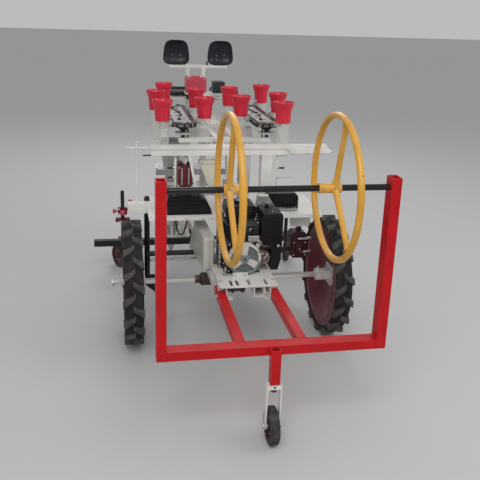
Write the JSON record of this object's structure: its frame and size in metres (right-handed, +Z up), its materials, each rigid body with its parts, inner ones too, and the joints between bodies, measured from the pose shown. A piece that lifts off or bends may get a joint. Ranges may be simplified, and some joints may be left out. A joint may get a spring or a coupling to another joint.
{
  "type": "self-propelled seedling transplanter",
  "caption": "Small ride-on planting machine with engine, drive wheels, red reel frame, chain-fed red cups over clear tubes, planting beaks and rear seats.",
  "frame": {"origin": "centre of the outline seen from above, on the ground the wheels stand on", "axes": "+Z up; the front with the reel frame looks along -Y; +X to the right as seen from the front"},
  "size_m": [1.504, 2.991, 1.49],
  "materials": {
    "red_paint": "gloss red paint",
    "black_paint": "satin black paint",
    "yellow_paint": "gloss yellow paint",
    "white_paint": "gloss white paint",
    "grey_paint": "satin grey paint",
    "maroon_paint": "gloss maroon paint",
    "brown_paint": "satin dark brown paint",
    "steel": "bright drawn steel",
    "engine_alloy": "cast alloy",
    "shield_steel": "pressed bright steel",
    "rubber_tyre": "black rubber",
    "small_tyre": "black rubber",
    "black_plastic": "gloss black moulding",
    "seat_plastic": "matt black moulding",
    "cup_red": "red moulded plastic",
    "cup_clear": "clear plastic",
    "cream_plastic": "cream moulded plastic",
    "chain_steel": "oiled black chain",
    "cable_black": "black sheath"
  },
  "bodies": {
    "chassis": {"front_frame": "red_paint", "axle_housing": "brown_paint", "main_rails": "white_paint", "engine_plate": "white_paint", "engine_block": "engine_alloy", "air_cleaner": "black_plastic", "fuel_tank": "black_paint", "engine_shield": "shield_steel", "chain_cover": "white_paint", "side_gearbox": "maroon_paint", "cross_shafts": "black_paint", "side_platforms": "white_paint", "ribbed_case": "black_plastic", "tool_box": "black_plastic", "upper_frame": "white_paint", "feed_gearbox": "maroon_paint", "cream_tank": "cream_plastic", "guide_plates": "grey_paint", "feed_chains": "chain_steel", "cup_holders": "grey_paint", "feed_cups": "cup_red", "cup_tubes": "cup_clear", "drop_chutes": "grey_paint", "planter_guides": "white_paint", "tool_bar": "black_paint", "cover_forks": "maroon_paint", "seats": "seat_plastic", "seat_frame": "white_paint", "footboard": "shield_steel", "control_cables": "cable_black"},
    "reel": {"reel_shaft": "black_paint", "reel_ring_left": "yellow_paint", "reel_ring_right": "yellow_paint"},
    "fork": {"guide_fork": "white_paint"},
    "guide_wheel": {"guide_wheel": "small_tyre"},
    "wheel_left": {"tyre_left": "rubber_tyre", "rim_left": "maroon_paint", "axle_left": "steel"},
    "wheel_right": {"tyre_right": "rubber_tyre", "rim_right": "maroon_paint", "axle_right": "steel"},
    "beak_left": {"beak_left": "steel"},
    "beak_right": {"beak_right": "steel"},
    "cover_wheel_left": {"cover_wheel_left": "small_tyre"},
    "cover_wheel_right": {"cover_wheel_right": "small_tyre"}
  },
  "joints": [
    {"name": "reel_spin", "type": "hinge", "parent": "chassis", "child": "reel", "pos_m": [0, -1.2045, 1.084], "axis": [1, 0, 0], "continuous": true},
    {"name": "guide_steer", "type": "hinge", "parent": "chassis", "child": "fork", "pos_m": [0, -1.2545, 0.3], "axis": [0, 0, 1], "range_deg": [-60, 60]},
    {"name": "guide_wheel_spin", "type": "hinge", "parent": "fork", "child": "guide_wheel", "pos_m": [0, -1.2545, 0.08], "axis": [1, 0, 0], "continuous": true},
    {"name": "wheel_left_spin", "type": "hinge", "parent": "chassis", "child": "wheel_left", "pos_m": [-0.533, -0.2545, 0.33], "axis": [1, 0, 0], "continuous": true},
    {"name": "wheel_right_spin", "type": "hinge", "parent": "chassis", "child": "wheel_right", "pos_m": [0.533, -0.2545, 0.33], "axis": [1, 0, 0], "continuous": true},
    {"name": "beak_left_slide", "type": "slide", "parent": "chassis", "child": "beak_left", "axis": [0, 0, 1], "range_m": [-0.05, 0.12]},
    {"name": "beak_right_slide", "type": "slide", "parent": "chassis", "child": "beak_right", "axis": [0, 0, 1], "range_m": [-0.05, 0.12]},
    {"name": "cover_wheel_left_spin", "type": "hinge", "parent": "chassis", "child": "cover_wheel_left", "pos_m": [-0.592, 0.8205, 0.079], "axis": [-0.9063, -0.4226, 0], "continuous": true},
    {"name": "cover_wheel_right_spin", "type": "hinge", "parent": "chassis", "child": "cover_wheel_right", "pos_m": [0.592, 0.8205, 0.079], "axis": [0.9063, -0.4226, 0], "continuous": true}
  ]
}
